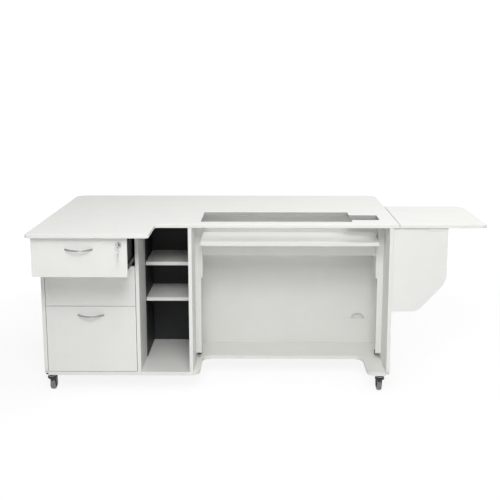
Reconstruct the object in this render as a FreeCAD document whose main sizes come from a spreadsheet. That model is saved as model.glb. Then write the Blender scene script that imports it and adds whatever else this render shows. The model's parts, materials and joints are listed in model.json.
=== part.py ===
import FreeCAD, Part
import os
from types import SimpleNamespace

import Sketcher

# Driving dimensions in millimetres, by group
SIZES = {
    # Tops
    "table_height": 780,
    "top_thickness": 16,
    "top_depth": 840,
    "top_corner_radius": 50,
    "top_edge_radius": 2.5,
    "worktop_reach": 232,
    "worktop_reach_width": 513,
    "worktop_corner_radius": 14,
    "right_overhang": 25,
    "leaf_seam": 2.4,
    "leaf_width": 380,
    "leaf_depth": 495,
    "leaf_front_radius": 22,
    "leaf_rear_radius": 55,
    # Opening in the main top
    "opening_inset": 37,
    "opening_end_inset": 31,
    "opening_setback": 69,
    "opening_depth": 251,
    "opening_neck_width": 127,
    "opening_neck_setback": 115,
    "opening_neck_depth": 127,
    "opening_radius": 8,
    # Carcass
    "base_height": 86,
    "base_thickness": 16,
    "base_lip_width": 28,
    "base_foot_width": 82,
    "base_knee_depth": 228,
    "base_outer_radius": 42,
    "base_inner_radius": 50,
    "panel_thickness": 16,
    "panel_foot_radius": 28,
    "panel_edge_radius": 1,
    "right_wall_thickness": 16,
    "body_depth": 490,
    "drawer_bay_width": 405,
    "shelf_bay_width": 219,
    "knee_width": 868,
    "back_thickness": 16,
    "knee_back_setback": 430,
    "back_split_height": 226,
    "back_strip_thickness": 12,
    "back_overlap": 40,
    "notch_width": 60,
    "notch_height": 27,
    "notch_inset": 55,
    "notch_radius": 26,
    # Shelf bay
    "shelf_thickness": 16,
    "shelf_setback": 210,
    "upper_shelf_height": 563,
    "lower_shelf_height": 392,
    "lining_thickness": 3,
    # Drawers
    "lock_rail_height": 12,
    "lock_rail_depth": 10,
    "front_thickness": 16,
    "front_gap": 2,
    "upper_front_height": 169,
    "middle_front_height": 181,
    "upper_drawer_open": 204,
    "side_thickness": 12,
    "side_drop": 35,
    "box_rear_gap": 58,
    "box_lift": 14,
    "bottom_thickness": 6,
    "runner_space": 13,
    "runner_width": 11.5,
    "runner_sheet": 1.5,
    "runner_start": 20,
    "rail_width": 9,
    "rail_height": 20,
    "rail_end_gap": 10,
    "rail_lift": 10,
    "rail_play": 0.3,
    # Handles
    "handle_spacing": 110,
    "handle_projection": 28,
    "handle_rod_radius": 4.5,
    "upper_handle_drop": 51,
    "handle_drop": 30,
    "lower_handle_drop": 40,
    # Lock
    "lock_inset": 34,
    "lock_drop": 31,
    "lock_barrel_radius": 8,
    "lock_barrel_length": 30,
    "lock_flange_radius": 13,
    "lock_flange_thickness": 3,
    "lock_play": 0.05,
    "plug_radius": 6,
    "cam_length": 27,
    "cam_width": 12,
    "cam_thickness": 3,
    "key_head_radius": 11,
    "key_thickness": 2.2,
    "key_shank_length": 7,
    "key_shank_height": 8,
    "key_hole_radius": 3,
    "key_ring_radius": 11,
    "key_ring_wire_radius": 0.9,
    "key_ring_play": 0.3,
    "spare_blade_length": 28,
    # Lift
    "column_width": 26,
    "column_depth": 60,
    "column_setback": 180,
    "column_sheet": 2.5,
    "column_lip": 9,
    "column_bottom": 132,
    "slider_play": 0.4,
    "carriage_thickness": 8,
    "carriage_height": 173,
    "carriage_margin": 3,
    "platform_offset": 94,
    "platform_thickness": 18,
    "platform_end_gap": 4,
    "platform_setback": 72,
    "platform_depth": 244,
    "platform_radius": 12,
    "beam_height": 70,
    "beam_thickness": 18,
    "strut_radius": 9,
    "strut_length": 330,
    "strut_setback": 13,
    "strut_arm_thickness": 8,
    "rod_radius": 4,
    "rod_engaged": 95,
    "rod_play": 0.05,
    # Swing gate under the leaf
    "gate_setback": 12,
    "gate_thickness": 16,
    "gate_width": 240,
    "gate_height": 377,
    "gate_drop": 2,
    "gate_foot_length": 115,
    "gate_outer_height": 240,
    "gate_outer_radius": 85,
    "gate_foot_radius": 55,
    "gate_hinge_length": 320,
    "gate_hinge_leaf": 25,
    "gate_hinge_sheet": 1.5,
    "gate_barrel_radius": 3,
    "gate_barrel_gap": 0.4,
    "gate_pin_radius": 1.5,
    "block_width": 57,
    "block_offset": 155,
    "block_depth": 13,
    "block_play": 0.3,
    "block_proud": 2,
    "block_radius": 4,
    # Hinges of the leaf
    "leaf_hinge_length": 60,
    "leaf_hinge_inset": 60,
    "leaf_hinge_sheet": 1,
    "leaf_hinge_height": 13,
    "leaf_barrel_radius": 2.2,
    "leaf_barrel_rise": 1.2,
    "leaf_pin_radius": 1,
    "hinge_play": 0.05,
    "knuckle_gap": 0.4,
    # Fixing brackets under the tops
    "bracket_size": 24,
    "bracket_depth": 30,
    "bracket_sheet": 2,
    "bracket_inset": 14,
    # Casters
    "wheel_radius": 27,
    "wheel_width": 20,
    "wheel_edge_radius": 4,
    "axle_radius": 4,
    "axle_play": 0.05,
    "fork_gap": 1,
    "fork_sheet": 3,
    "fork_depth": 24,
    "crown_radius": 21,
    "crown_thickness": 12,
    "raceway_radius": 17,
    "raceway_thickness": 13,
    "plate_size": 46,
    "plate_thickness": 3,
    "kingpin_radius": 4,
    "caster_trail": 18,
    "caster_inset": 24,
    "caster_front_inset": 40,
    "caster_rear_inset": 60,
}

doc = FreeCAD.newDocument("SewingCabinet")
sheet = doc.addObject("Spreadsheet::Sheet", "Dims")
for row, (alias, number) in enumerate(SIZES.items(), start=1):
    sheet.set(f"A{row}", alias.replace("_", " "))
    sheet.set(f"B{row}", str(number))
    sheet.setAlias(f"B{row}", alias)
doc.recompute()


class Size:
    """A length as an expression on the sheet's cells, with its present value beside it."""

    def __init__(self, text, value):
        self.text = text
        self.value = value

    def __add__(self, other):
        return Size(f"({self.text} + {text_of(other)})", self.value + value_of(other))

    def __sub__(self, other):
        return Size(f"({self.text} - {text_of(other)})", self.value - value_of(other))

    def __rsub__(self, other):
        return Size(f"({text_of(other)} - {self.text})", value_of(other) - self.value)

    def __mul__(self, other):
        return Size(f"({self.text} * {text_of(other)})", self.value * value_of(other))

    def __truediv__(self, other):
        return Size(f"({self.text} / {text_of(other)})", self.value / value_of(other))

    def __neg__(self):
        return Size(f"(-{self.text})", -self.value)

    __radd__ = __add__
    __rmul__ = __mul__


def text_of(size):
    return size.text if isinstance(size, Size) else str(size)


def value_of(size):
    return size.value if isinstance(size, Size) else float(size)


dim = SimpleNamespace(**{alias: Size(f"Dims.{alias}", float(sheet.get(alias))) for alias in SIZES})
subparts = {}

# Stations from left to right, with the origin under the middle of the whole footprint
body_width = (
    dim.panel_thickness * 3
    + dim.drawer_bay_width
    + dim.shelf_bay_width
    + dim.knee_width
    + dim.right_wall_thickness
)
total_width = body_width + dim.right_overhang + dim.leaf_seam + dim.leaf_width
x_left = -total_width / 2
x_drawers = x_left + dim.panel_thickness
x_divider = x_drawers + dim.drawer_bay_width
x_bay = x_divider + dim.panel_thickness
x_knee_wall = x_bay + dim.shelf_bay_width
x_knee = x_knee_wall + dim.panel_thickness
x_right_wall = x_knee + dim.knee_width
x_body_end = x_right_wall + dim.right_wall_thickness
x_top_end = x_body_end + dim.right_overhang
x_leaf = x_top_end + dim.leaf_seam

# Stations from front to back
y_front = (dim.worktop_reach - dim.top_depth) / 2
y_reach = y_front - dim.worktop_reach
y_body_end = y_front + dim.body_depth
y_inner_end = y_body_end - dim.back_thickness
y_knee_back = y_front + dim.knee_back_setback
y_shelf = y_front + dim.shelf_setback

# Stations from the floor up
z_base = dim.base_height
z_floor = z_base + dim.base_thickness
z_under = dim.table_height - dim.top_thickness
z_lock_rail = z_under - dim.lock_rail_height

ORIGIN_AXES = {"XY_Plane": (0, 1, 2), "XZ_Plane": (0, 2, 1), "YZ_Plane": (1, 2, 0)}
AXIS_TURN = {
    "x": FreeCAD.Rotation(FreeCAD.Vector(0, 1, 0), 90),
    "y": FreeCAD.Rotation(FreeCAD.Vector(1, 0, 0), -90),
    "z": FreeCAD.Rotation(),
}
SAME = 0.001


def keep(label, piece):
    """Name a finished sub-part, which names its file."""
    piece.Label = label
    subparts[label] = piece
    return piece


def bind(piece, **sizes):
    for name, size in sizes.items():
        piece.setExpression(name, text_of(size))


def place(piece, corner):
    for axis, size in zip("xyz", corner):
        piece.setExpression(f"Placement.Base.{axis}", text_of(size))
    return piece


def block(name, corner, size):
    """A plain rectangular solid."""
    piece = doc.addObject("Part::Box", name)
    bind(piece, Length=size[0], Width=size[1], Height=size[2])
    return place(piece, corner)


def rod(name, start, axis, radius, length):
    """A round solid from its start along an axis."""
    piece = doc.addObject("Part::Cylinder", name)
    piece.Placement.Rotation = AXIS_TURN[axis]
    bind(piece, Radius=radius, Height=length)
    return place(piece, start)


def fuse(name, pieces):
    piece = doc.addObject("Part::MultiFuse", name)
    piece.Shapes = pieces
    piece.Refine = True
    return piece


def cut(name, base, tool):
    piece = doc.addObject("Part::Cut", name)
    piece.Base = base
    piece.Tool = tool
    return piece


def group(name, pieces):
    """Several separate solids that make one node."""
    piece = doc.addObject("Part::Compound", name)
    piece.Links = pieces
    return piece


def pin_point(sketch, line, direction, size):
    """Hold the start of a line at a distance from the sketch's origin, or on its axis."""
    if value_of(size) == 0:
        axis = -2 if direction == "DistanceX" else -1
        sketch.addConstraint(Sketcher.Constraint("PointOnObject", line, 1, axis))
        return
    index = sketch.addConstraint(Sketcher.Constraint(direction, -1, 1, line, 1, size.value))
    sketch.setExpression(f"Constraints[{index}]", size.text)


def add_loop(sketch, corners):
    first = sketch.GeometryCount
    points = [FreeCAD.Vector(value_of(u), value_of(v), 0) for u, v in corners]
    count = len(points)
    for index in range(count):
        sketch.addGeometry(Part.LineSegment(points[index], points[(index + 1) % count]), False)
    for index in range(count):
        following = first + (index + 1) % count
        sketch.addConstraint(Sketcher.Constraint("Coincident", first + index, 2, following, 1))
    for index, (u, v) in enumerate(corners):
        pin_point(sketch, first + index, "DistanceX", u)
        pin_point(sketch, first + index, "DistanceY", v)


def outline(name, plane, loops, thickness, corner):
    """A board padded from straight-sided loops on one of its origin planes, towards the plus side."""
    body = doc.addObject("PartDesign::Body", name)
    sketch = body.newObject("Sketcher::SketchObject", name + "Outline")
    support = [feature for feature in body.Origin.OriginFeatures if feature.Role == plane][0]
    sketch.AttachmentSupport = (support, [""])
    sketch.MapMode = "FlatFace"
    for loop in loops:
        add_loop(sketch, loop)
    pad = body.newObject("PartDesign::Pad", name + "Pad")
    pad.Profile = sketch
    pad.Reversed = plane == "XZ_Plane"
    bind(pad, Length=thickness)
    place(body, corner)
    doc.recompute()
    return body


def fillet(body, edges, radius):
    base = body.Tip
    feature = body.newObject("PartDesign::Fillet", f"{body.Name}Fillet")
    feature.Base = (base, edges)
    bind(feature, Radius=radius)
    body.Tip = feature
    doc.recompute()


def round_corners(body, plane, corners, radius):
    """Round the edges that stand on an outline's corners."""
    across, up = ORIGIN_AXES[plane][:2]
    edges = []
    for index, edge in enumerate(body.Tip.Shape.Edges, start=1):
        ends = [vertex.Point for vertex in edge.Vertexes]
        for u, v in corners:
            if all(abs(p[across] - value_of(u)) < SAME and abs(p[up] - value_of(v)) < SAME for p in ends):
                edges.append(f"Edge{index}")
    fillet(body, edges, radius)


def soften(body, plane, radius):
    """Round the edges of a board's two faces."""
    along = ORIGIN_AXES[plane][2]
    box = body.Tip.Shape.BoundBox
    faces = [(box.XMin, box.XMax), (box.YMin, box.YMax), (box.ZMin, box.ZMax)][along]
    edges = []
    for index, edge in enumerate(body.Tip.Shape.Edges, start=1):
        span = [edge.BoundBox.XMin, edge.BoundBox.YMin, edge.BoundBox.ZMin][along]
        reach = [edge.BoundBox.XMax, edge.BoundBox.YMax, edge.BoundBox.ZMax][along]
        if reach - span < SAME and min(abs(span - face) for face in faces) < SAME:
            edges.append(f"Edge{index}")
    fillet(body, edges, radius)


def board(name, corner, size):
    """A rectangular board with all its edges slightly rounded by the edging."""
    body = doc.addObject("PartDesign::Body", name)
    slab = body.newObject("PartDesign::AdditiveBox", name + "Slab")
    bind(slab, Length=size[0], Width=size[1], Height=size[2])
    doc.recompute()
    edging = body.newObject("PartDesign::Fillet", name + "Edging")
    edging.Base = (slab, ["Edge1"])
    edging.UseAllEdges = True
    bind(edging, Radius=dim.panel_edge_radius)
    body.Tip = edging
    return place(body, corner)


def rectangle(width, depth):
    return [(0, 0), (width, 0), (width, depth), (0, depth)]


def make_main_top():
    """The L-shaped top, which reaches out over the drawers and opens in a step above the lift."""
    width = x_top_end - x_left
    depth = dim.worktop_reach + dim.top_depth
    loop = [
        (0, 0),
        (dim.worktop_reach_width, 0),
        (dim.worktop_reach_width, dim.worktop_reach),
        (width, dim.worktop_reach),
        (width, depth),
        (0, depth),
    ]
    start = x_knee + dim.opening_inset - x_left
    end = x_right_wall - dim.opening_end_inset - x_left
    neck = end - dim.opening_neck_width
    front = dim.worktop_reach + dim.opening_setback
    rear = front + dim.opening_depth
    neck_front = dim.worktop_reach + dim.opening_neck_setback
    neck_rear = neck_front + dim.opening_neck_depth
    opening = [
        (start, front),
        (neck, front),
        (neck, neck_front),
        (end, neck_front),
        (end, neck_rear),
        (neck, neck_rear),
        (neck, rear),
        (start, rear),
    ]
    body = outline("MainTop", "XY_Plane", [loop, opening], dim.top_thickness, (x_left, y_reach, z_under))
    round_corners(body, "XY_Plane", loop[:3], dim.worktop_corner_radius)
    round_corners(body, "XY_Plane", loop[4:], dim.top_corner_radius)
    round_corners(body, "XY_Plane", opening, dim.opening_radius)
    soften(body, "XY_Plane", dim.top_edge_radius)
    keep("main_top", body)


def make_right_leaf():
    """The folding leaf that carries the work on the right."""
    loop = rectangle(dim.leaf_width, dim.leaf_depth)
    body = outline("RightLeaf", "XY_Plane", [loop], dim.top_thickness, (x_leaf, y_front, z_under))
    round_corners(body, "XY_Plane", loop[1:2], dim.leaf_front_radius)
    round_corners(body, "XY_Plane", loop[2:3], dim.leaf_rear_radius)
    soften(body, "XY_Plane", dim.top_edge_radius)
    keep("right_leaf", body)


def make_base_board():
    """The floor of the carcass, cut back under the knee space so that it ends in a foot at the right."""
    lip = x_knee + dim.base_lip_width - x_drawers
    foot = x_right_wall - dim.base_foot_width - x_drawers
    width = x_right_wall - x_drawers
    loop = [
        (0, 0),
        (lip, 0),
        (lip, dim.base_knee_depth),
        (foot, dim.base_knee_depth),
        (foot, 0),
        (width, 0),
        (width, dim.body_depth),
        (0, dim.body_depth),
    ]
    body = outline("BaseBoard", "XY_Plane", [loop], dim.base_thickness, (x_drawers, y_front, z_base))
    round_corners(body, "XY_Plane", [loop[1], loop[4]], dim.base_outer_radius)
    round_corners(body, "XY_Plane", [loop[2], loop[3]], dim.base_inner_radius)
    soften(body, "XY_Plane", dim.panel_edge_radius)
    keep("base_board", body)


def make_side_panel(label, x, thickness):
    """An outer wall that runs down beside the base board, with rounded lower corners."""
    height = z_under - z_base
    loop = rectangle(dim.body_depth, height)
    name = label.title().replace("_", "")
    body = outline(name, "YZ_Plane", [loop], thickness, (x, y_front, z_base))
    round_corners(body, "YZ_Plane", loop[:2], dim.panel_foot_radius)
    soften(body, "YZ_Plane", dim.panel_edge_radius)
    keep(label, body)


def make_carcass():
    make_base_board()
    make_side_panel("left_side_panel", x_left, dim.panel_thickness)
    make_side_panel("right_wall", x_right_wall, dim.right_wall_thickness)
    height = z_under - z_floor
    divider_depth = dim.body_depth - dim.back_thickness
    keep(
        "pedestal_divider",
        board("Divider", (x_divider, y_front, z_floor), (dim.panel_thickness, divider_depth, height)),
    )
    keep(
        "knee_left_wall",
        board("KneeWall", (x_knee_wall, y_front, z_floor), (dim.panel_thickness, dim.body_depth, height)),
    )
    back_width = x_knee_wall - x_drawers
    keep(
        "pedestal_back_panel",
        board("PedestalBack", (x_drawers, y_inner_end, z_floor), (back_width, dim.back_thickness, height)),
    )
    keep(
        "lock_rail",
        board(
            "LockRail",
            (x_drawers, y_front + dim.front_thickness + dim.front_gap, z_lock_rail),
            (dim.drawer_bay_width, dim.lock_rail_depth, dim.lock_rail_height),
        ),
    )


def make_knee_back():
    """The back of the knee space: an upper panel with an arched hand notch, on a lower one with a strip."""
    height = z_under - dim.back_split_height
    notch_end = dim.knee_width - dim.notch_inset
    notch_start = notch_end - dim.notch_width
    loop = [
        (0, 0),
        (notch_start, 0),
        (notch_start, dim.notch_height),
        (notch_end, dim.notch_height),
        (notch_end, 0),
        (dim.knee_width, 0),
        (dim.knee_width, height),
        (0, height),
    ]
    corner = (x_knee, y_knee_back, dim.back_split_height)
    body = outline("UpperBack", "XZ_Plane", [loop], dim.back_thickness, corner)
    round_corners(body, "XZ_Plane", loop[2:4], dim.notch_radius)
    soften(body, "XZ_Plane", dim.panel_edge_radius)
    keep("upper_back_panel", body)
    lower_size = (dim.knee_width, dim.back_thickness, dim.back_split_height - z_floor)
    lower = board("LowerBack", (x_knee, y_knee_back, z_floor), lower_size)
    strip_corner = (x_knee, y_knee_back + dim.back_thickness, dim.back_split_height - dim.back_overlap)
    strip_size = (dim.knee_width, dim.back_strip_thickness, dim.back_overlap * 2)
    strip = block("BackStrip", strip_corner, strip_size)
    keep("lower_back_panel", fuse("LowerBackPanel", [lower, strip]))


def make_shelf_bay():
    """Two set-back shelves in a dark lining behind their front edges."""
    depth = y_inner_end - y_shelf
    height = z_under - z_floor
    lining = [
        block("LiningLeft", (x_bay, y_shelf, z_floor), (dim.lining_thickness, depth, height)),
        block(
            "LiningRight",
            (x_knee_wall - dim.lining_thickness, y_shelf, z_floor),
            (dim.lining_thickness, depth, height),
        ),
        block(
            "LiningBack",
            (x_bay + dim.lining_thickness, y_inner_end - dim.lining_thickness, z_floor),
            (dim.shelf_bay_width - dim.lining_thickness * 2, dim.lining_thickness, height),
        ),
    ]
    keep("shelf_bay_lining", group("BayLining", lining))
    shelves = []
    for name, top in (("UpperShelf", dim.upper_shelf_height), ("LowerShelf", dim.lower_shelf_height)):
        corner = (x_bay + dim.lining_thickness, y_shelf, top - dim.shelf_thickness)
        size = (
            dim.shelf_bay_width - dim.lining_thickness * 2,
            depth - dim.lining_thickness,
            dim.shelf_thickness,
        )
        shelves.append(board(name, corner, size))
    keep("bay_shelves", group("BayShelves", shelves))


# Drawer fronts from the top down: underside, height, how far it stands open, handle below its top edge
upper_bottom = z_under - dim.front_gap - dim.upper_front_height
middle_bottom = upper_bottom - dim.front_gap - dim.middle_front_height
lower_bottom = z_floor + dim.front_gap
lower_height = middle_bottom - dim.front_gap - lower_bottom
DRAWERS = {
    "upper": (upper_bottom, dim.upper_front_height, dim.upper_drawer_open, dim.upper_handle_drop),
    "middle": (middle_bottom, dim.middle_front_height, 0, dim.handle_drop),
    "lower": (lower_bottom, lower_height, 0, dim.lower_handle_drop),
}
box_length = dim.body_depth - dim.back_thickness - dim.front_thickness - dim.box_rear_gap
front_width = dim.drawer_bay_width - dim.front_gap * 2
x_front = x_drawers + dim.front_gap
x_front_middle = x_drawers + dim.drawer_bay_width / 2
x_box = x_drawers + dim.runner_space
x_box_end = x_divider - dim.runner_space

# The lock's axis, in the upper drawer's front near its right end
x_lock = x_front + front_width - dim.lock_inset
y_upper_face = y_front - dim.upper_drawer_open
z_lock = upper_bottom + dim.upper_front_height - dim.lock_drop


def make_front(name, label, face, bottom, height):
    panel = board(name + "Panel", (x_front, face, bottom), (front_width, dim.front_thickness, height))
    if name != "Upper":
        keep(label, panel)
        return
    bore = rod("LockBore", (x_lock, face, z_lock), "y", dim.lock_barrel_radius, dim.front_thickness)
    keep(label, cut("UpperFront", panel, bore))


def make_box(name, prefix, y_box, z_side, side_height):
    """The two sides, the back and the let-in bottom of a drawer."""
    inner_width = x_box_end - x_box - dim.side_thickness * 2
    side = (dim.side_thickness, box_length, side_height)
    y_back = y_box + box_length - dim.side_thickness
    sides = [
        block(name + "SideLeft", (x_box, y_box, z_side), side),
        block(name + "SideRight", (x_box_end - dim.side_thickness, y_box, z_side), side),
        block(
            name + "Back",
            (x_box + dim.side_thickness, y_back, z_side),
            (inner_width, dim.side_thickness, side_height),
        ),
    ]
    keep(prefix + "_box", group(name + "Box", sides))
    floor = block(
        name + "Floor",
        (x_box + dim.side_thickness, y_box, z_side),
        (inner_width, box_length - dim.side_thickness, dim.bottom_thickness),
    )
    keep(prefix + "_bottom", floor)


def make_rails(name, prefix, y_box, z_rail):
    """The steel rails on a drawer's sides, which run in the cabinet's channels."""
    size = (dim.rail_width, box_length - dim.rail_end_gap, dim.rail_height)
    rails = [
        block(name + "RailLeft", (x_box - dim.rail_width, y_box, z_rail), size),
        block(name + "RailRight", (x_box_end, y_box, z_rail), size),
    ]
    keep(prefix + "_rails", group(name + "Rails", rails))


def make_handle(name, prefix, face, z_handle):
    """A bow handle: the part of a ring that stands out of the drawer's front."""
    half_chord = dim.handle_spacing / 2
    rise = dim.handle_projection
    bow_radius = (half_chord * half_chord + rise * rise) / (rise * 2)
    ring = doc.addObject("Part::Torus", name + "Ring")
    bind(ring, Radius1=bow_radius, Radius2=dim.handle_rod_radius)
    place(ring, (x_front_middle, face + bow_radius - dim.handle_projection, z_handle))
    reach = bow_radius + dim.handle_rod_radius
    proud = dim.handle_projection + dim.handle_rod_radius
    space = block(
        name + "BowSpace",
        (x_front_middle - reach, face - proud, z_handle - dim.handle_rod_radius),
        (reach * 2, proud, dim.handle_rod_radius * 2),
    )
    bow = doc.addObject("Part::Common", name + "Bow")
    bow.Base = ring
    bow.Tool = space
    keep(prefix + "_handle", bow)


def make_channels(name, z_rail):
    """A pair of cabinet channels, open towards the drawer, with the rail resting in them."""
    inner_height = dim.rail_height + dim.rail_play * 2
    height = inner_height + dim.runner_sheet * 2
    z_channel = z_rail - dim.rail_play - dim.runner_sheet
    y_channel = y_front + dim.runner_start
    slot_width = dim.runner_width - dim.runner_sheet
    length = box_length
    left = cut(
        name + "ChannelLeft",
        block(name + "BarLeft", (x_drawers, y_channel, z_channel), (dim.runner_width, length, height)),
        block(
            name + "SlotLeft",
            (x_drawers + dim.runner_sheet, y_channel, z_channel + dim.runner_sheet),
            (slot_width, length, inner_height),
        ),
    )
    right = cut(
        name + "ChannelRight",
        block(
            name + "BarRight",
            (x_divider - dim.runner_width, y_channel, z_channel),
            (dim.runner_width, length, height),
        ),
        block(
            name + "SlotRight",
            (x_divider - dim.runner_width, y_channel, z_channel + dim.runner_sheet),
            (slot_width, length, inner_height),
        ),
    )
    return [left, right]


def make_drawers():
    channels = []
    for level, (bottom, height, opened, handle_drop) in DRAWERS.items():
        name = level.title()
        prefix = level + "_drawer"
        face = y_front - opened
        y_box = face + dim.front_thickness
        z_side = bottom + dim.box_lift
        z_rail = z_side + dim.rail_lift
        make_front(name, prefix + "_front", face, bottom, height)
        make_box(name, prefix, y_box, z_side, height - dim.box_lift - dim.side_drop)
        make_rails(name, prefix, y_box, z_rail)
        make_handle(name, prefix, face, bottom + height - handle_drop)
        channels += make_channels(name, z_rail)
    keep("cabinet_runners", group("CabinetRunners", channels))


y_plug = y_upper_face - dim.lock_flange_thickness
plug_length = dim.lock_flange_thickness + dim.lock_barrel_length
y_cam = y_plug + plug_length
y_key_head = y_plug - dim.key_shank_length - dim.key_head_radius
y_key_hole = y_key_head - dim.key_head_radius + dim.key_hole_radius * 2


def make_key_blank(name, y_head, z_head, shank):
    """A flat key standing on edge: a round head and its shank."""
    head = rod(
        name + "Head",
        (x_lock - dim.key_thickness / 2, y_head, z_head),
        "x",
        dim.key_head_radius,
        dim.key_thickness,
    )
    return fuse(name + "Flat", [head, shank])


def make_lock():
    """The cam lock of the upper drawer: housing, plug, cam, the key in it and a spare on the ring."""
    seat = (x_lock, y_upper_face, z_lock)
    front = (x_lock, y_plug, z_lock)
    flange = rod("LockFlange", front, "y", dim.lock_flange_radius, dim.lock_flange_thickness)
    barrel = rod("LockBarrel", seat, "y", dim.lock_barrel_radius, dim.lock_barrel_length)
    bore = rod("PlugBore", front, "y", dim.plug_radius + dim.lock_play, plug_length)
    keep("lock_housing", cut("LockHousing", fuse("LockShell", [flange, barrel]), bore))
    keep("lock_plug", rod("LockPlug", front, "y", dim.plug_radius, plug_length))
    hub = rod("CamHub", (x_lock, y_cam, z_lock), "y", dim.cam_width / 2, dim.cam_thickness)
    arm = block(
        "CamArm",
        (x_lock - dim.cam_length, y_cam, z_lock - dim.cam_width / 2),
        (dim.cam_length, dim.cam_thickness, dim.cam_width),
    )
    keep("lock_cam", fuse("LockCam", [hub, arm]))
    shank = block(
        "KeyShank",
        (x_lock - dim.key_thickness / 2, y_key_head, z_lock - dim.key_shank_height / 2),
        (dim.key_thickness, y_plug - y_key_head, dim.key_shank_height),
    )
    hole = rod(
        "KeyHole",
        (x_lock - dim.key_thickness / 2, y_key_hole, z_lock),
        "x",
        dim.key_hole_radius,
        dim.key_thickness,
    )
    keep("lock_key", cut("LockKey", make_key_blank("Key", y_key_head, z_lock, shank), hole))
    make_spare_key()


def make_spare_key():
    """A ring through the heads of both keys, with the spare hanging from it."""
    ring = doc.addObject("Part::Torus", "KeyRing")
    bind(ring, Radius1=dim.key_ring_radius, Radius2=dim.key_ring_wire_radius)
    hang = dim.key_hole_radius - dim.key_ring_wire_radius - dim.key_ring_play
    z_ring = z_lock - hang - dim.key_ring_radius
    ring.Placement.Rotation = AXIS_TURN["y"]
    place(ring, (x_lock, y_key_hole, z_ring))
    z_hole = z_ring - dim.key_ring_radius - hang
    z_head = z_hole - dim.key_head_radius + dim.key_hole_radius * 2
    z_tip = z_head - dim.key_head_radius - dim.spare_blade_length
    blade_width = dim.key_shank_height
    shank = block(
        "SpareBlade",
        (x_lock - dim.key_thickness / 2, y_key_hole - blade_width / 2, z_tip),
        (dim.key_thickness, blade_width, dim.spare_blade_length + dim.key_head_radius),
    )
    hole = rod(
        "SpareHole",
        (x_lock - dim.key_thickness / 2, y_key_hole, z_hole),
        "x",
        dim.key_hole_radius,
        dim.key_thickness,
    )
    spare = cut("SpareKeyFlat", make_key_blank("Spare", y_key_hole, z_head, shank), hole)
    keep("spare_key", group("SpareKey", [ring, spare]))


# Lift between the knee walls
x_columns_end = x_right_wall - dim.column_width
y_column = y_front + dim.column_setback
y_strut = y_column + dim.column_depth + dim.strut_setback
z_platform = dim.table_height - dim.platform_offset - dim.platform_thickness
x_platform = x_knee + dim.column_width + dim.platform_end_gap
platform_width = x_right_wall - x_knee - (dim.column_width + dim.platform_end_gap) * 2
x_carriage_left = x_knee + dim.column_width
x_carriage_right = x_columns_end - dim.carriage_thickness
x_strut_left = x_knee + dim.column_width / 2
x_strut_right = x_right_wall - dim.column_width / 2
z_strut_end = z_floor + dim.strut_length
z_rod = z_strut_end - dim.rod_engaged
z_arm = z_platform - dim.strut_arm_thickness


def make_column(name, x, opens_right):
    """A lipped channel on a knee wall, open towards the platform."""
    height = z_under - dim.column_bottom
    shell = block(name, (x, y_column, dim.column_bottom), (dim.column_width, dim.column_depth, height))
    core_start = x + dim.column_sheet
    core = block(
        name + "Core",
        (core_start, y_column + dim.column_sheet, dim.column_bottom),
        (dim.column_width - dim.column_sheet * 2, dim.column_depth - dim.column_sheet * 2, height),
    )
    mouth_start = x + dim.column_width - dim.column_sheet if opens_right else x
    mouth = block(
        name + "Mouth",
        (mouth_start, y_column + dim.column_lip, dim.column_bottom),
        (dim.column_sheet, dim.column_depth - dim.column_lip * 2, height),
    )
    return cut(name + "Channel", cut(name + "Hollow", shell, core), mouth)


def make_carriage(name, x_plate, x_column, x_strut, opens_right):
    """A slider in the column, its neck through the mouth, the lift's plate and the strut's arm."""
    bottom = z_platform - dim.carriage_height
    gap = dim.column_sheet + dim.slider_play
    slider = block(
        name + "Slider",
        (x_column + gap, y_column + gap, bottom),
        (dim.column_width - gap * 2, dim.column_depth - gap * 2, dim.carriage_height),
    )
    neck_inset = dim.column_lip + dim.slider_play
    neck_start = x_column + dim.column_width / 2 if opens_right else x_plate + dim.carriage_thickness
    neck = block(
        name + "Neck",
        (neck_start, y_column + neck_inset, bottom),
        (dim.column_width / 2, dim.column_depth - neck_inset * 2, dim.carriage_height),
    )
    plate_gap = dim.slider_play
    plate_start = x_plate + plate_gap if opens_right else x_plate
    plate_depth = dim.column_depth + dim.strut_setback + dim.strut_radius + dim.carriage_margin * 2
    plate = block(
        name + "Plate",
        (plate_start, y_column - dim.carriage_margin, bottom),
        (dim.carriage_thickness - plate_gap, plate_depth, dim.carriage_height),
    )
    bridge_start = x_plate - plate_gap if opens_right else x_plate + dim.carriage_thickness - plate_gap
    bridge = block(
        name + "Bridge",
        (bridge_start, y_column + neck_inset, bottom),
        (plate_gap * 2, dim.column_depth - neck_inset * 2, dim.carriage_height),
    )
    arm_start = x_strut if opens_right else x_plate
    arm_end = x_plate + dim.carriage_thickness if opens_right else x_strut
    arm = block(
        name + "Arm",
        (arm_start, y_strut - dim.strut_radius, z_arm),
        (arm_end - arm_start, dim.strut_radius * 2, dim.strut_arm_thickness),
    )
    pad = rod(name + "Pad", (x_strut, y_strut, z_arm), "z", dim.strut_radius, dim.strut_arm_thickness)
    return fuse(name, [slider, neck, bridge, plate, arm, pad])


def make_strut(name, x):
    """A strut's cylinder on the base board and its rod up to the carriage's arm."""
    tube = rod(name + "Tube", (x, y_strut, z_floor), "z", dim.strut_radius, dim.strut_length)
    bore_length = dim.strut_length - dim.strut_radius
    bore_start = (x, y_strut, z_floor + dim.strut_radius)
    bore = rod(name + "Bore", bore_start, "z", dim.rod_radius + dim.rod_play, bore_length)
    piston_rod = rod(name + "Rod", (x, y_strut, z_rod), "z", dim.rod_radius, z_arm - z_rod)
    return cut(name + "Cylinder", tube, bore), piston_rod


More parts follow.
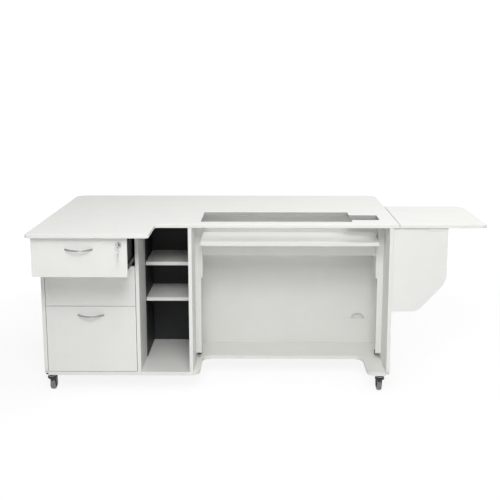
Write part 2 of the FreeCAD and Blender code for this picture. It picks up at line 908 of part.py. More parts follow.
def make_lift():
    columns = [make_column("ColumnLeft", x_knee, True), make_column("ColumnRight", x_columns_end, False)]
    keep("lift_columns", group("LiftColumns", columns))
    carriages = [
        make_carriage("CarriageLeft", x_carriage_left, x_knee, x_strut_left, True),
        make_carriage("CarriageRight", x_carriage_right, x_columns_end, x_strut_right, False),
    ]
    keep("lift_carriages", group("LiftCarriages", carriages))
    struts = [make_strut("StrutLeft", x_strut_left), make_strut("StrutRight", x_strut_right)]
    keep("strut_cylinders", group("StrutCylinders", [tube for tube, _ in struts]))
    keep("strut_rods", group("StrutRods", [piston_rod for _, piston_rod in struts]))
    beam_start = x_carriage_left + dim.carriage_thickness
    y_beam = y_column + (dim.column_depth - dim.beam_thickness) / 2
    beam_corner = (beam_start, y_beam, z_platform - dim.beam_height)
    beam_size = (x_carriage_right - beam_start, dim.beam_thickness, dim.beam_height)
    keep("lift_cross_beam", board("CrossBeam", beam_corner, beam_size))
    loop = rectangle(platform_width, dim.platform_depth)
    corner = (x_platform, y_front + dim.platform_setback, z_platform)
    body = outline("Platform", "XY_Plane", [loop], dim.platform_thickness, corner)
    round_corners(body, "XY_Plane", loop, dim.platform_radius)
    soften(body, "XY_Plane", dim.top_edge_radius)
    keep("lift_platform", body)


# Swing gate at the right wall, folding back under the top's overhang
x_gate = x_body_end + dim.gate_barrel_gap
x_gate_pin = x_gate + dim.gate_barrel_radius
y_gate = y_front + dim.gate_setback
y_gate_back = y_gate + dim.gate_thickness
y_gate_pin = y_gate_back + dim.gate_barrel_gap + dim.gate_barrel_radius
z_gate_top = z_under - dim.gate_drop
z_gate = z_gate_top - dim.gate_height
z_gate_hinge = z_gate + (dim.gate_height - dim.gate_hinge_length) / 2


def make_gate_panel():
    """The gate: a bracket with a sloping lower edge and a seat for its support block."""
    block_end = dim.block_offset + dim.block_width
    seat = dim.gate_height - dim.block_depth
    slope_end = dim.gate_height - dim.gate_outer_height
    loop = [
        (0, 0),
        (dim.gate_foot_length, 0),
        (dim.gate_width, slope_end),
        (dim.gate_width, dim.gate_height),
        (block_end, dim.gate_height),
        (block_end, seat),
        (dim.block_offset, seat),
        (dim.block_offset, dim.gate_height),
        (0, dim.gate_height),
    ]
    body = outline("GatePanel", "XZ_Plane", [loop], dim.gate_thickness, (x_gate, y_gate, z_gate))
    round_corners(body, "XZ_Plane", loop[1:2], dim.gate_foot_radius)
    round_corners(body, "XZ_Plane", loop[2:3], dim.gate_outer_radius)
    soften(body, "XZ_Plane", dim.panel_edge_radius)
    keep("gate_panel", body)
    height = dim.block_depth + dim.gate_drop - dim.block_play
    thickness = dim.gate_thickness + dim.block_proud
    corner = (x_gate + dim.block_offset, y_gate - dim.block_proud, z_gate_top - dim.block_depth)
    support = outline("GateBlock", "XZ_Plane", [rectangle(dim.block_width, height)], thickness, corner)
    round_corners(support, "XZ_Plane", [(0, height), (dim.block_width, height)], dim.block_radius)
    soften(support, "XZ_Plane", dim.panel_edge_radius)
    keep("gate_support_block", support)


def make_knuckles(name, start, axis, length, count, radius, odd):
    """Every other knuckle of a hinge, as (start along the axis, length) pairs and their solids."""
    pitch = length / count
    stretches = []
    solids = []
    along = "xyz".index(axis)
    for index in range(count):
        if (index % 2 == 1) != odd:
            continue
        corner = list(start)
        corner[along] = start[along] + pitch * index + dim.knuckle_gap / 2
        stretch = pitch - dim.knuckle_gap
        solids.append(rod(f"{name}Knuckle{index}", tuple(corner), axis, radius, stretch))
        stretches.append((corner[along], stretch))
    return stretches, solids


def make_gate_hinge():
    """A long butt hinge between the right wall's outer face and the back of the gate."""
    start = (x_gate_pin, y_gate_pin, z_gate_hinge)
    length = dim.gate_hinge_length
    radius = dim.gate_barrel_radius
    sheet = dim.gate_hinge_sheet
    clear = radius + dim.gate_barrel_gap
    leaf = dim.gate_hinge_leaf - clear
    pieces = {"Wall": (False, []), "Swing": (True, [])}
    for side, (odd, solids) in pieces.items():
        stretches, knuckles = make_knuckles("Gate" + side, start, "z", length, 5, radius, odd)
        solids += knuckles
        for index, (z, stretch) in enumerate(stretches):
            if odd:
                tab = ((x_gate_pin, y_gate_back, z), (clear, sheet, stretch))
            else:
                tab = ((x_body_end, y_gate_pin, z), (sheet, clear, stretch))
            solids.append(block(f"Gate{side}Tab{index}", *tab))
    pieces["Wall"][1].append(
        block("GateWallPlate", (x_body_end, y_gate_pin + clear, z_gate_hinge), (sheet, leaf, length))
    )
    pieces["Swing"][1].append(
        block("GateSwingPlate", (x_gate_pin + clear, y_gate_back, z_gate_hinge), (leaf, sheet, length))
    )
    bore_radius = dim.gate_pin_radius + dim.hinge_play
    for side, label in (("Wall", "gate_hinge_wall_leaf"), ("Swing", "gate_hinge_swing_leaf")):
        bore = rod(f"Gate{side}Bore", start, "z", bore_radius, length)
        keep(label, cut(f"Gate{side}Leaf", fuse(f"Gate{side}Solid", pieces[side][1]), bore))
    keep("gate_hinge_pin", rod("GatePin", start, "z", dim.gate_pin_radius, length))


# The leaf folds over about pins just above the tops, in the seam
x_leaf_pin = x_top_end + dim.leaf_seam / 2
z_leaf_pin = dim.table_height + dim.leaf_barrel_rise
leaf_hinge_starts = (
    y_front + dim.leaf_hinge_inset,
    y_front + dim.leaf_depth - dim.leaf_hinge_inset - dim.leaf_hinge_length,
)


def make_leaf_hinge(name, y_start):
    """One butt hinge in the seam: a leaf on the edge of each top and a barrel above them."""
    start = (x_leaf_pin, y_start, z_leaf_pin)
    length = dim.leaf_hinge_length
    radius = dim.leaf_barrel_radius
    sheet = dim.leaf_hinge_sheet
    z_plate = dim.table_height - dim.top_edge_radius - dim.leaf_hinge_height
    z_tab = z_plate + dim.leaf_hinge_height
    halves = []
    for side, odd, x in (("Fixed", False, x_top_end), ("Moving", True, x_leaf - sheet)):
        stretches, solids = make_knuckles(name + side, start, "y", length, 3, radius, odd)
        for index, (y, stretch) in enumerate(stretches):
            tab = block(f"{name}{side}Tab{index}", (x, y, z_tab), (sheet, stretch, z_leaf_pin - z_tab))
            solids.append(tab)
        plate_size = (sheet, length, dim.leaf_hinge_height)
        solids.append(block(f"{name}{side}Plate", (x, y_start, z_plate), plate_size))
        bore = rod(f"{name}{side}Bore", start, "y", dim.leaf_pin_radius + dim.hinge_play, length)
        halves.append(cut(f"{name}{side}Half", fuse(f"{name}{side}Solid", solids), bore))
    pin = rod(name + "Pin", start, "y", dim.leaf_pin_radius, length)
    return halves[0], halves[1], pin


def make_leaf_hinges():
    hinges = [make_leaf_hinge(f"LeafHinge{index}", y) for index, y in enumerate(leaf_hinge_starts)]
    keep("leaf_hinge_top_plates", group("LeafHingeFixed", [fixed for fixed, _, _ in hinges]))
    keep("leaf_hinge_leaf_plates", group("LeafHingeMoving", [moving for _, moving, _ in hinges]))
    keep("leaf_hinge_pins", group("LeafHingePins", [pin for _, _, pin in hinges]))


def make_fixing_brackets():
    """Angle brackets that hold the tops to the knee walls, near the front and the back."""
    size = dim.bracket_size
    sheet = dim.bracket_sheet
    rear = y_knee_back - dim.bracket_inset - dim.bracket_depth
    angles = []
    for side, x_face, inward in (("Left", x_knee, 1), ("Right", x_right_wall, -1)):
        for end, y in (("Front", y_front + dim.bracket_inset), ("Rear", rear)):
            name = f"Bracket{side}{end}"
            x_flange = x_face if inward > 0 else x_face - size
            x_web = x_face if inward > 0 else x_face - sheet
            flange_size = (size, dim.bracket_depth, sheet)
            flange = block(name + "Flange", (x_flange, y, z_under - sheet), flange_size)
            web = block(name + "Web", (x_web, y, z_under - size), (sheet, dim.bracket_depth, size))
            angles.append(fuse(name, [flange, web]))
    keep("top_fixing_brackets", group("FixingBrackets", angles))


# Swivel axes of the four casters, and how far each stands turned
x_caster_left = x_left + dim.caster_inset
x_caster_right = x_right_wall - dim.caster_inset + dim.panel_edge_radius
y_caster_front = y_front + dim.caster_front_inset
y_caster_rear = y_body_end - dim.caster_rear_inset
CASTERS = {
    "front_left": (x_caster_left, y_caster_front, -6),
    "front_right": (x_caster_right, y_caster_front, 4),
    "rear_left": (x_caster_left, y_caster_rear, -15),
    "rear_right": (x_caster_right, y_caster_rear, 20),
}
z_raceway = z_base - dim.plate_thickness - dim.raceway_thickness
z_crown = z_raceway - dim.crown_thickness


def make_caster_plate(name, x, y):
    """The fixed part of a caster: its plate, the raceway and the kingpin."""
    half = dim.plate_size / 2
    plate_size = (dim.plate_size, dim.plate_size, dim.plate_thickness)
    plate = block(name + "Plate", (x - half, y - half, z_base - dim.plate_thickness), plate_size)
    raceway = rod(name + "Raceway", (x, y, z_raceway), "z", dim.raceway_radius, dim.raceway_thickness)
    kingpin = rod(name + "Kingpin", (x, y, z_crown), "z", dim.kingpin_radius, dim.crown_thickness)
    return fuse(name + "Mount", [plate, raceway, kingpin])


def make_fork(name):
    """A caster's fork about its own swivel axis: crown, two legs and the axle between them."""
    half_gap = dim.wheel_width / 2 + dim.fork_gap
    leg_start = dim.caster_trail - dim.fork_depth / 2
    z_leg = dim.wheel_radius - dim.fork_depth / 2
    leg_size = (dim.fork_sheet, dim.fork_depth, z_crown - z_leg)
    crown = rod(name + "Crown", (0, 0, z_crown), "z", dim.crown_radius, dim.crown_thickness)
    legs = [
        block(name + "LegLeft", (-half_gap - dim.fork_sheet, leg_start, z_leg), leg_size),
        block(name + "LegRight", (half_gap, leg_start, z_leg), leg_size),
    ]
    axle_start = (-half_gap, dim.caster_trail, dim.wheel_radius)
    axle = rod(name + "Axle", axle_start, "x", dim.axle_radius, half_gap * 2)
    bore = rod(name + "Bore", (0, 0, z_crown), "z", dim.kingpin_radius + dim.axle_play, dim.crown_thickness)
    return cut(name + "Fork", fuse(name + "Frame", [crown, axle] + legs), bore)


def make_wheel(name):
    """A caster's wheel about its own swivel axis, with rounded tread edges and a bore for the axle."""
    start = (-dim.wheel_width / 2, dim.caster_trail, dim.wheel_radius)
    body = doc.addObject("PartDesign::Body", name + "Wheel")
    disc = body.newObject("PartDesign::AdditiveCylinder", name + "Disc")
    bind(disc, Radius=dim.wheel_radius, Height=dim.wheel_width)
    doc.recompute()
    rims = [f"Edge{index}" for index, edge in enumerate(disc.Shape.Edges, start=1) if edge.isClosed()]
    fillet(body, rims, dim.wheel_edge_radius)
    body.Placement.Rotation = AXIS_TURN["x"]
    place(body, start)
    bore = rod(name + "WheelBore", start, "x", dim.axle_radius + dim.axle_play, dim.wheel_width)
    return cut(name + "Roller", body, bore)


def make_casters():
    plates = []
    for corner, (x, y, turn) in CASTERS.items():
        name = corner.title().replace("_", "")
        plates.append(make_caster_plate(name, x, y))
        for suffix, piece in (("fork", make_fork(name)), ("wheel", make_wheel(name))):
            holder = group(f"{name}{suffix.title()}Placed", [piece])
            holder.Placement.Rotation = FreeCAD.Rotation(FreeCAD.Vector(0, 0, 1), turn)
            place(holder, (x, y, 0))
            keep(f"{corner}_caster_{suffix}", holder)
    keep("caster_plates", group("CasterPlates", plates))


def check_document():
    for piece in doc.Objects:
        if "Invalid" in piece.State or "Error" in piece.State:
            raise RuntimeError(f"{piece.Name} did not rebuild: {piece.State}")
    for label, piece in subparts.items():
        if piece.Shape.isNull() or not piece.Shape.isValid() or not piece.Shape.Solids:
            raise RuntimeError(f"{label} has no valid solid")


make_main_top()
make_right_leaf()
make_carcass()
make_knee_back()
make_shelf_bay()
make_drawers()
make_lock()
make_lift()
make_gate_panel()
make_gate_hinge()
make_leaf_hinges()
make_fixing_brackets()
make_casters()
doc.recompute()
check_document()

os.makedirs("parts", exist_ok=True)
for label, piece in subparts.items():
    piece.Shape.exportStep(f"parts/{label}.step")
print(f"{len(subparts)} sub-parts, {sum(len(piece.Shape.Solids) for piece in subparts.values())} solids")
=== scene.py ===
import json
import math

import bmesh
import bpy
from mathutils import Matrix, Vector


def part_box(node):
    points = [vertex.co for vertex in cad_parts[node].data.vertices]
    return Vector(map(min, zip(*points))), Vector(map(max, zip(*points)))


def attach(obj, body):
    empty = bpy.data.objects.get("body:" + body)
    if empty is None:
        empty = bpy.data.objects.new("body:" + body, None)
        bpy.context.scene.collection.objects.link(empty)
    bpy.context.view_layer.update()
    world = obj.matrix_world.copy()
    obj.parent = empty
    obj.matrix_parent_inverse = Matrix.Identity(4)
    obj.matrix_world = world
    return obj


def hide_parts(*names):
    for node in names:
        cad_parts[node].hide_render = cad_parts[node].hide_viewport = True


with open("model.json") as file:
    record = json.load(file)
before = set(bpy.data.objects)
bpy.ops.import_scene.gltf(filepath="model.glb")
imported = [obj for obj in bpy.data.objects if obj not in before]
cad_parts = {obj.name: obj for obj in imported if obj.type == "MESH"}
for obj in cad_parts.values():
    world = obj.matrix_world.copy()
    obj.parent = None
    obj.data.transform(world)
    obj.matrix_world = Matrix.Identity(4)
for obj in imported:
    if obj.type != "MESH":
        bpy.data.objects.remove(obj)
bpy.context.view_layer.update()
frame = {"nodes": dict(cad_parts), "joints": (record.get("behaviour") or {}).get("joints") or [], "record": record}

nodes = frame["nodes"]
joints = {joint["name"]: joint for joint in frame["joints"]}
scene = bpy.context.scene
print("stage: frame loaded")


class Field:  # a shader socket with arithmetic
    def __init__(self, graph, socket):
        self.graph = graph
        self.socket = socket

    def calc(self, operation, first, second):
        return self.graph.node("ShaderNodeMath", {0: first, 1: second}, operation=operation)

    def __add__(self, other):
        return self.calc("ADD", self, other)

    def __rsub__(self, other):
        return self.calc("SUBTRACT", other, self)

    def __mul__(self, other):
        return self.calc("MULTIPLY", self, other)

    __radd__ = __add__
    __rmul__ = __mul__

    def over(self, low, high):  # 0 below low, 1 above high
        limits = {"Value": self, "From Min": low, "From Max": high}
        return self.graph.node("ShaderNodeMapRange", limits, interpolation_type="SMOOTHSTEP")


even = (1.0, 1.0, 1.0)
noiseSpan = (0.3, 0.7)  # noise values between which a mottled colour turns


class Graph:  # the nodes of one material or of the world
    def __init__(self, holder):
        holder.use_nodes = True
        self.tree = holder.node_tree

    def feed(self, socket, value):  # a link or a plain value
        if isinstance(value, Field):
            self.tree.links.new(value.socket, socket)
        else:
            socket.default_value = value

    def node(self, kind, sockets, output=0, **settings):
        made = self.tree.nodes.new(kind)
        for name, value in settings.items():
            setattr(made, name, value)
        for name, value in sockets.items():
            self.feed(made.inputs[name], value)
        return Field(self, made.outputs[output])

    def place(self):
        return self.node("ShaderNodeTexCoord", {}, "Object")

    def axis(self, letter):
        return self.node("ShaderNodeSeparateXYZ", {0: self.place()}, letter)

    def noise(self, size, detail=2.0, stretch=even):  # size of a grain in metres
        spot = self.node("ShaderNodeMapping", {"Vector": self.place(), "Scale": stretch})
        return self.node("ShaderNodeTexNoise", {"Vector": spot, "Scale": 1.0 / size, "Detail": detail})

    def blend(self, factor, low, high):  # a colour between two colours
        return self.node("ShaderNodeMix", {0: factor, 6: low, 7: high}, 2, data_type="RGBA")

    def mottle(self, factor, tone, spread):  # a colour a little darker and lighter in patches
        low = [c * (1 - spread) for c in tone]
        high = [min(1.0, c * (1 + spread)) for c in tone]
        return self.blend(factor.over(*noiseSpan), (*low, 1.0), (*high, 1.0))

    def mix(self, factor, first, second):
        return self.node("ShaderNodeMixShader", {0: factor, 1: first, 2: second})

    def seenRay(self):  # 1 for the rays that see the white paper: camera, mirror and glass
        kinds = ("Is Camera Ray", "Is Glossy Ray", "Is Transmission Ray")
        return sum(self.node("ShaderNodeLightPath", {}, kind) for kind in kinds)


class Shade(Graph):  # one material round its main shader
    def __init__(self, name):
        self.material = bpy.data.materials.new(name)
        super().__init__(self.material)
        self.shader = self.tree.nodes["Principled BSDF"]

    def set(self, name, value):
        self.feed(self.shader.inputs[name], value)

    def bump(self, height, distance):
        self.set("Normal", self.node("ShaderNodeBump", {"Height": height, "Distance": distance}))


melamine = {  # grain sizes and relief in metres
    "patch": 0.09,
    "patchShare": 0.65,
    "speck": 0.011,
    "sheen": 0.03,
    "rough": 0.44,
    "uneven": 0.16,
    "gloss": 0.26,
    "peel": 0.0011,
    "relief": 0.00004,
}


def finishBoard(shade):  # uneven sheen and fine orange peel
    sheen = shade.noise(melamine["sheen"], detail=3.0)
    shade.set("Roughness", sheen * melamine["uneven"] + melamine["rough"])
    shade.set("Specular IOR Level", melamine["gloss"])
    shade.bump(shade.noise(melamine["peel"]), melamine["relief"])
    return shade.material


def boardPatches(shade):  # wide patches with specks in them
    share = melamine["patchShare"]
    return shade.noise(melamine["patch"], detail=3.0) * share + shade.noise(melamine["speck"]) * (1 - share)


def makeBoard(name, tone, spread):  # melamine with a faint mottle
    shade = Shade(name)
    shade.set("Base Color", shade.mottle(boardPatches(shade), tone, spread))
    return finishBoard(shade)


paint = {"wear": 0.02, "uneven": 0.2, "grain": 0.0007, "relief": 0.00003}


def makePaint(name, tone, spread, rough):  # coated steel
    shade = Shade(name)
    wear = shade.noise(paint["wear"], detail=4.0)
    shade.set("Base Color", shade.mottle(wear, tone, spread))
    shade.set("Roughness", wear * paint["uneven"] + (rough - paint["uneven"] / 2))
    shade.bump(shade.noise(paint["grain"]), paint["relief"])
    return shade.material


steel = {"brush": 0.0012, "spread": 0.06, "uneven": 0.18, "relief": 0.00002}


def makeSteel(name, tone, rough, stretch=even):  # drawn or brushed metal
    shade = Shade(name)
    brush = shade.noise(steel["brush"], detail=3.0, stretch=stretch)
    shade.set("Metallic", 1.0)
    shade.set("Base Color", shade.mottle(brush, tone, steel["spread"]))
    shade.set("Roughness", brush * steel["uneven"] + (rough - steel["uneven"] / 2))
    shade.bump(brush, steel["relief"])
    return shade.material


rubber = {"dust": 0.006, "spread": 0.16, "rough": 0.26, "uneven": 0.14, "grain": 0.0006, "relief": 0.00005}


def makeRubber(name, tone):  # smooth grey tyre, dusty in patches
    shade = Shade(name)
    dust = shade.noise(rubber["dust"], detail=4.0)
    shade.set("Base Color", shade.mottle(dust, tone, rubber["spread"]))
    shade.set("Roughness", dust * rubber["uneven"] + rubber["rough"])
    shade.bump(shade.noise(rubber["grain"]), rubber["relief"])
    return shade.material


mount = {
    "band": 0.0022,  # bright height above the fork
    "edge": 0.0003,
    "bright": (0.62, 0.62, 0.61),
    "black": (0.02, 0.02, 0.021, 1.0),
    "wear": 0.004,
    "spread": 0.08,
    "rough": 0.25,
    "uneven": 0.2,
    "relief": 0.00002,
}


def makeMount(name):  # black plate over a bright raceway
    shade = Shade(name)
    wear = shade.noise(mount["wear"], detail=3.0)
    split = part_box("front_left_caster_fork")[1].z + mount["band"]
    black = shade.axis("Z").over(split - mount["edge"], split + mount["edge"])
    bright = shade.mottle(wear, mount["bright"], mount["spread"])
    shade.set("Base Color", shade.blend(black, bright, mount["black"]))
    shade.set("Metallic", 1 - black)
    shade.set("Roughness", wear * mount["uneven"] + mount["rough"])
    shade.bump(wear, mount["relief"])
    return shade.material


# grey painted shade on the top's faces round its opening, where shade falls; tone is that painted grey
opening = {
    "start": (0.709, 0.301),  # from the top's left front corner
    "end": (1.509, 0.552),
    "inset": 0.0015,  # of the painted shade from the board's faces
    "edge": 0.0008,
    "tone": (0.38, 0.385, 0.37),
    "spread": 0.04,
}


def makeTop(name, tone, spread):  # board with grey painted shade on its faces round its opening
    shade = Shade(name)
    patches = boardPatches(shade)
    low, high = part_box("main_top")
    starts = (*(low.xy + Vector(opening["start"])), low.z + opening["inset"])
    ends = (*(low.xy + Vector(opening["end"])), high.z - opening["inset"])
    edge = opening["edge"]
    inside = 1.0
    for letter, start, end in zip("XYZ", starts, ends):
        place = shade.axis(letter)
        begun = place.over(start - edge, start - edge / 2)
        ended = place.over(end + edge / 2, end + edge)
        inside = inside * begun * (1 - ended)
    board = shade.mottle(patches, tone, spread)
    # painted shade: the grey laid on the faces round the opening
    paintedShade = shade.mottle(patches, opening["tone"], opening["spread"])
    shade.set("Base Color", shade.blend(inside, board, paintedShade))
    return finishBoard(shade)


whiteTone = (0.80, 0.80, 0.775)
whiteSpread = 0.012
materials = {  # one for each slot
    "white_board": makeBoard("whiteBoard", whiteTone, whiteSpread),
    "dark_lining": makeBoard("darkLining", (0.028, 0.029, 0.031), 0.12),
    "black_steel": makePaint("blackSteel", (0.018, 0.018, 0.019), 0.1, 0.36),
    "white_steel": makePaint("whiteSteel", (0.78, 0.78, 0.755), whiteSpread, 0.4),
    "bright_steel": makeSteel("brightSteel", (0.58, 0.58, 0.57), 0.32),
    "satin_steel": makeSteel("satinSteel", (0.33, 0.327, 0.318), 0.32, (0.08, 1.0, 1.0)),
    "chrome": makeSteel("chromePlate", (0.74, 0.74, 0.74), 0.16),
    "white_plastic": makeBoard("whitePlastic", (0.8, 0.8, 0.78), 0.01),
    "wheel_rubber": makeRubber("wheelRubber", (0.2, 0.2, 0.204)),
}
special = {  # nodes with a finish of their own, with painted shade on main_top round its opening and on lock_plug's face
    "caster_plates": makeMount("casterMount"),
    "main_top": makeTop("mainTop", whiteTone, whiteSpread),
    "strut_cylinders": makePaint("strutPaint", (0.2, 0.2, 0.195), 0.08, 0.4),
    "lock_housing": makeSteel("lockPlate", (0.5, 0.5, 0.49), 0.3),
    # the plug's face is dark: painted shade standing in for the keyway
    "lock_plug": makeSteel("plugFace", (0.16, 0.16, 0.157), 0.34),
}
for entry in frame["record"]["subparts"]:
    slots = nodes[entry["node"]].data.materials
    slots.clear()
    slots.append(special.get(entry["node"], materials[entry["material_slot"]]))
print("stage: materials set")


hardEdge = math.radians(38)  # a sharper edge isn't smoothed


def addPiece(name, shape, slot, body, *replaced):  # makes a finished mesh an object on its body and hides the parts it replaces
    bmesh.ops.recalc_face_normals(shape, faces=shape.faces[:])
    mesh = bpy.data.meshes.new(name)
    shape.to_mesh(mesh)
    shape.free()
    mesh.shade_smooth()
    mesh.set_sharp_from_angle(angle=hardEdge)
    mesh.materials.append(materials[slot])
    piece = bpy.data.objects.new(name, mesh)
    scene.collection.objects.link(piece)
    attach(piece, body)
    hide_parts(*replaced)


def turnProfile(shape, profile, steps):  # closed profile of (radius, height) turned about Z
    corners = [shape.verts.new((radius, 0, height)) for radius, height in profile]
    edges = [shape.edges.new(pair) for pair in zip(corners, corners[1:] + corners[:1])]
    bmesh.ops.spin(
        shape,
        geom=corners + edges,
        cent=(0, 0, 0),
        axis=(0, 0, 1),
        angle=math.tau,
        steps=steps,
        use_merge=True,
    )


def roundEdges(shape, edges, radius):
    bmesh.ops.bevel(
        shape,
        geom=edges,
        offset=radius,
        offset_type="OFFSET",
        segments=6,
        profile=0.5,
        affect="EDGES",
        material=-1,
    )


handle = {
    "steps": 56,
    "around": 20,
    "span": 0.988,  # share of the node's width
    "fall": 1.3,  # above 1 the feet run out flat
    "slim": 0.0019,
    "stout": 0.0038,
    "tall": 0.0035,
    "tip": 0.1,  # share of the bow that thins out
    "shut": 0.99,  # how far the very tip closes
}


def handleSection(share, low, high):  # where the rod's section lies, share from -1 to 1 along the bow
    u = share * handle["span"]
    middle = (low + high) / 2
    half = (high - low) / 2
    reach = 2 * (half.y - handle["stout"])
    bow = (1 - u * u) ** handle["fall"]
    slope = 2 * handle["fall"] * u * (1 - u * u) ** (handle["fall"] - 1) * reach / half.x
    tip = handle["shut"] * max(0.0, 1 - (1 - abs(share)) / handle["tip"])
    tall = handle["tall"] * math.sqrt(1 - tip * tip)
    deep = handle["slim"] + (handle["stout"] - handle["slim"]) * bow
    sag = (half.z - handle["tall"]) * (1 - 2 * bow)  # the middle hangs a little below the feet
    place = Matrix.Translation((middle.x + u * half.x, high.y - deep - reach * bow, middle.z + sag))
    lying = Matrix(((0, 0, 1, 0), (1, 0, 0, 0), (0, 1, 0, 0), (0, 0, 0, 1)))  # the circle set across the bow
    return place @ Matrix.Rotation(math.atan(slope), 4, "Z") @ lying @ Matrix.Diagonal((deep, tall, 1, 1))


def makeHandle(level):  # bow with flattened feet, inside the box of its node
    node = level + "_drawer_handle"
    low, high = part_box(node)
    steps = handle["steps"]
    shares = [math.sin(math.pi * (i / steps - 0.5)) for i in range(steps + 1)]  # closer steps at the tips
    places = [handleSection(share, low, high) for share in shares]
    shape = bmesh.new()
    bmesh.ops.create_circle(shape, segments=handle["around"], radius=1.0, matrix=places[0])
    edges = shape.edges[:]
    for before, after in zip(places, places[1:]):
        made = bmesh.ops.extrude_edge_only(shape, edges=edges)["geom"]
        edges = [part for part in made if isinstance(part, bmesh.types.BMEdge) and part.is_boundary]
        ring = [part for part in made if isinstance(part, bmesh.types.BMVert)]
        bmesh.ops.transform(shape, matrix=after @ before.inverted(), verts=ring)
    bmesh.ops.holes_fill(shape, edges=[edge for edge in shape.edges if edge.is_boundary])
    addPiece(level + "Handle", shape, "satin_steel", level + "_drawer", node)


wheel = {
    "width": 0.020,
    "bore": 0.00405,
    "hub": 0.0085,
    "web": 0.0165,
    "dish": 0.0035,
    "sink": 0.001,  # of the hub behind the tyre's side
    "hubSlope": 0.001,
    "webSlope": 0.0015,
    "shoulder": 0.004,
    "slack": 0.0005,  # for picking the tread's corners
    "steps": 64,
}


def makeWheel(corner):  # solid tyre round a dished centre
    node = corner + "_caster_wheel"
    low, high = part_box(node)
    roll = joints[corner + "_roll"]
    radius = (high.z - low.z) / 2
    wide = wheel["width"] / 2
    hub = wide - wheel["sink"]
    web = wide - wheel["dish"]
    side = [
        (wheel["bore"], hub),
        (wheel["hub"], hub),
        (wheel["hub"] + wheel["hubSlope"], web),
        (wheel["web"], web),
        (wheel["web"] + wheel["webSlope"], wide),
        (radius, wide),
    ]
    shape = bmesh.new()
    turnProfile(shape, side + [(r, -h) for r, h in reversed(side)], wheel["steps"])
    tread = {v for v in shape.verts if v.co.xy.length > radius - wheel["slack"]}
    rims = [e for e in shape.edges if tread.issuperset(e.verts) and e.verts[0].co.z * e.verts[1].co.z > 0]
    roundEdges(shape, rims, wheel["shoulder"])
    turn = Vector((0, 0, 1)).rotation_difference(Vector(roll["axis"])).to_matrix().to_4x4()
    shape.transform(Matrix.Translation(roll["pos_m"]) @ turn)
    addPiece(corner + "Wheel", shape, "wheel_rubber", corner + "_wheel", node)


fork = {
    "crown": 0.021,
    "lip": 0.0018,
    "pin": 0.00405,
    "gap": 0.001,
    "sheet": 0.003,
    "root": 0.0118,
    "eye": 0.0085,
    "round": 0.998,  # share of the eye's radius that is rounded
    "axle": 0.004,
    "axleSteps": 32,
}


def addLeg(shape, middle, trail, top, axleHeight):  # round at the axle and wider at the crown
    eye = fork["eye"]
    bottom = axleHeight - eye
    size = Matrix.Diagonal((fork["sheet"], 2 * eye, top - bottom, 1))
    place = Matrix.Translation((middle, trail, (top + bottom) / 2))
    corners = bmesh.ops.create_cube(shape, size=1.0, matrix=place @ size)["verts"]
    foot = {v for v in corners if v.co.z < axleHeight}
    upper = [v for v in corners if v not in foot]
    edges = {e for v in foot for e in v.link_edges if foot.issuperset(e.verts)}
    across = [e for e in edges if abs(e.verts[0].co.x - e.verts[1].co.x) > fork["sheet"] / 2]
    roundEdges(shape, across, eye * fork["round"])
    middleLine = Matrix.Translation((0, -trail, 0))
    bmesh.ops.scale(shape, vec=(1, fork["root"] / eye, 1), space=middleLine, verts=upper)


def makeFork(corner):  # pressed crown, two tapering legs and the axle between them
    node = corner + "_caster_fork"
    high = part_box(node)[1]
    place = Vector(joints[corner + "_swivel"]["pos_m"])
    axle = Vector(joints[corner + "_roll"]["pos_m"])
    across = Vector(joints[corner + "_roll"]["axis"])
    along = Vector((-across.y, across.x, 0))
    trail = (axle - place).dot(along)
    lip = fork["lip"]
    shape = bmesh.new()
    side = [
        (fork["pin"], place.z),
        (fork["crown"] - lip, place.z),
        (fork["crown"], place.z + lip),
        (fork["crown"], high.z - lip),
        (fork["crown"] - lip, high.z),
        (fork["pin"], high.z),
    ]
    turnProfile(shape, side, wheel["steps"])
    gap = wheel["width"] / 2 + fork["gap"]
    for way in (-1, 1):
        addLeg(shape, way * (gap + fork["sheet"] / 2), trail, place.z + lip, axle.z)
    pin = Matrix.Translation((0, trail, axle.z)) @ Matrix.Rotation(math.pi / 2, 4, "Y")
    bmesh.ops.create_cone(
        shape,
        cap_ends=True,
        segments=fork["axleSteps"],
        radius1=fork["axle"],
        radius2=fork["axle"],
        depth=2 * gap,
        matrix=pin,
    )
    turn = Matrix((across, along, Vector((0, 0, 1)))).transposed().to_4x4()
    shape.transform(Matrix.Translation((place.x, place.y, 0)) @ turn)
    addPiece(corner + "Fork", shape, "black_steel", corner + "_caster", node)


for level in ("upper", "middle", "lower"):
    makeHandle(level)
for corner in ("front_left", "front_right", "rear_left", "rear_right"):
    makeFork(corner)
    makeWheel(corner)
print("stage: pieces made")


studio = {
    "sky": 0.18,
    "backdrop": 1.05,
    "paper": 1.06,
    "tone": (0.9, 0.9, 0.9),
    "patch": 0.5,
    "spread": 0.006,
    "rough": 0.9,
    "gloss": 0.1,
    "shadow": 0.18,
    "near": 2.2,  # squares of the distances where the shadow's fading starts and ends
    "far": 8.0,
    "half": 40.0,
}


def makeFloor():  # white paper that keeps the shadow near the object
    shape = bmesh.new()
    bmesh.ops.create_grid(shape, x_segments=1, y_segments=1, size=studio["half"])
    mesh = bpy.data.meshes.new("floor")
    shape.to_mesh(mesh)
    shape.free()
    floor = bpy.data.objects.new("floor", mesh)
    scene.collection.objects.link(floor)
    shade = Shade("floorPaper")
    patches = shade.noise(studio["patch"])
    shade.set("Base Color", shade.mottle(patches, studio["tone"], studio["spread"]))
    shade.set("Roughness", studio["rough"])
    shade.set("Specular IOR Level", studio["gloss"])
    white = shade.node("ShaderNodeEmission", {"Strength": studio["paper"]})
    square = shade.axis("X") * shade.axis("X") + shade.axis("Y") * shade.axis("Y")
    away = square.over(studio["near"], studio["far"]) * studio["shadow"] + (1 - studio["shadow"])
    paper = shade.mix(shade.seenRay() * away, Field(shade, shade.shader.outputs[0]), white)
    shade.feed(shade.tree.nodes["Material Output"].inputs["Surface"], paper)
    mesh.materials.append(shade.material)


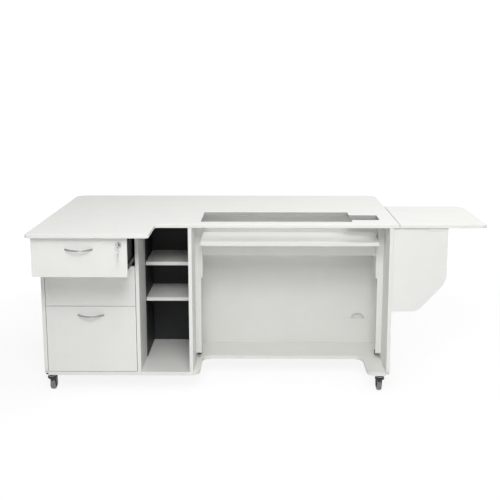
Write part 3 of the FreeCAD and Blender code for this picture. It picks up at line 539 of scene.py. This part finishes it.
def makeWorld():
    scene.world = bpy.data.worlds.new("studio")
    graph = Graph(scene.world)
    white = (1.0, 1.0, 1.0, 1.0)
    sky = graph.tree.nodes["Background"]
    graph.feed(sky.inputs["Color"], white)
    graph.feed(sky.inputs["Strength"], studio["sky"])
    backdrop = graph.node("ShaderNodeBackground", {"Color": white, "Strength": studio["backdrop"]})
    around = graph.mix(graph.seenRay(), Field(graph, sky.outputs[0]), backdrop)
    graph.feed(graph.tree.nodes["World Output"].inputs["Surface"], around)


lamps = {  # place, target, size in metres and power in watts
    "overhead": ((1.6, 0.4, 4.2), (0.4, 0.1, 0), 3.0, 78.0),
    "high": ((0, -3.2, 4.4), (0, 0, 0.5), 3.0, 71.0),
    "near": ((0, -3.6, 2.9), (0, 0, 0.4), 1.6, 66.0),
    "low": ((0, -6.5, 1.5), (0, 0, 0.4), 3.0, 18.0),
}


def makeLight(name, place, target, size, power):
    light = bpy.data.lights.new(name, "AREA")
    light.shape = "DISK"
    light.size = size
    light.energy = power
    lamp = bpy.data.objects.new(name, light)
    lamp.location = place
    lamp.rotation_euler = (Vector(target) - Vector(place)).to_track_quat("-Z", "Y").to_euler()
    scene.collection.objects.link(lamp)


view = {
    "place": (-0.0028, -3.9928, 1.4718),
    "pitch": -10.439,
    "yaw": -0.782,
    "roll": -0.058,
    "lens": 61.92,
    "sensor": 36.0,
    "shift": -0.0564,
}


def makeCamera():
    pitch = math.radians(view["pitch"])
    yaw = math.radians(view["yaw"])
    roll = math.radians(view["roll"])
    forward = Vector((math.sin(yaw) * math.cos(pitch), math.cos(yaw) * math.cos(pitch), math.sin(pitch)))
    level = Vector((math.cos(yaw), -math.sin(yaw), 0))
    upright = level.cross(forward)
    right = math.cos(roll) * level + math.sin(roll) * upright
    up = math.cos(roll) * upright - math.sin(roll) * level
    data = bpy.data.cameras.new("camera")
    data.lens = view["lens"]
    data.sensor_width = view["sensor"]
    data.shift_y = view["shift"]
    camera = bpy.data.objects.new("camera", data)
    turn = Matrix((right, up, -forward)).transposed().to_4x4()
    camera.matrix_world = Matrix.Translation(view["place"]) @ turn
    scene.collection.objects.link(camera)
    scene.camera = camera


makeFloor()
makeWorld()
for name, values in lamps.items():
    makeLight(name, *values)
makeCamera()
scene.view_settings.view_transform = "Standard"
print("stage: studio set")
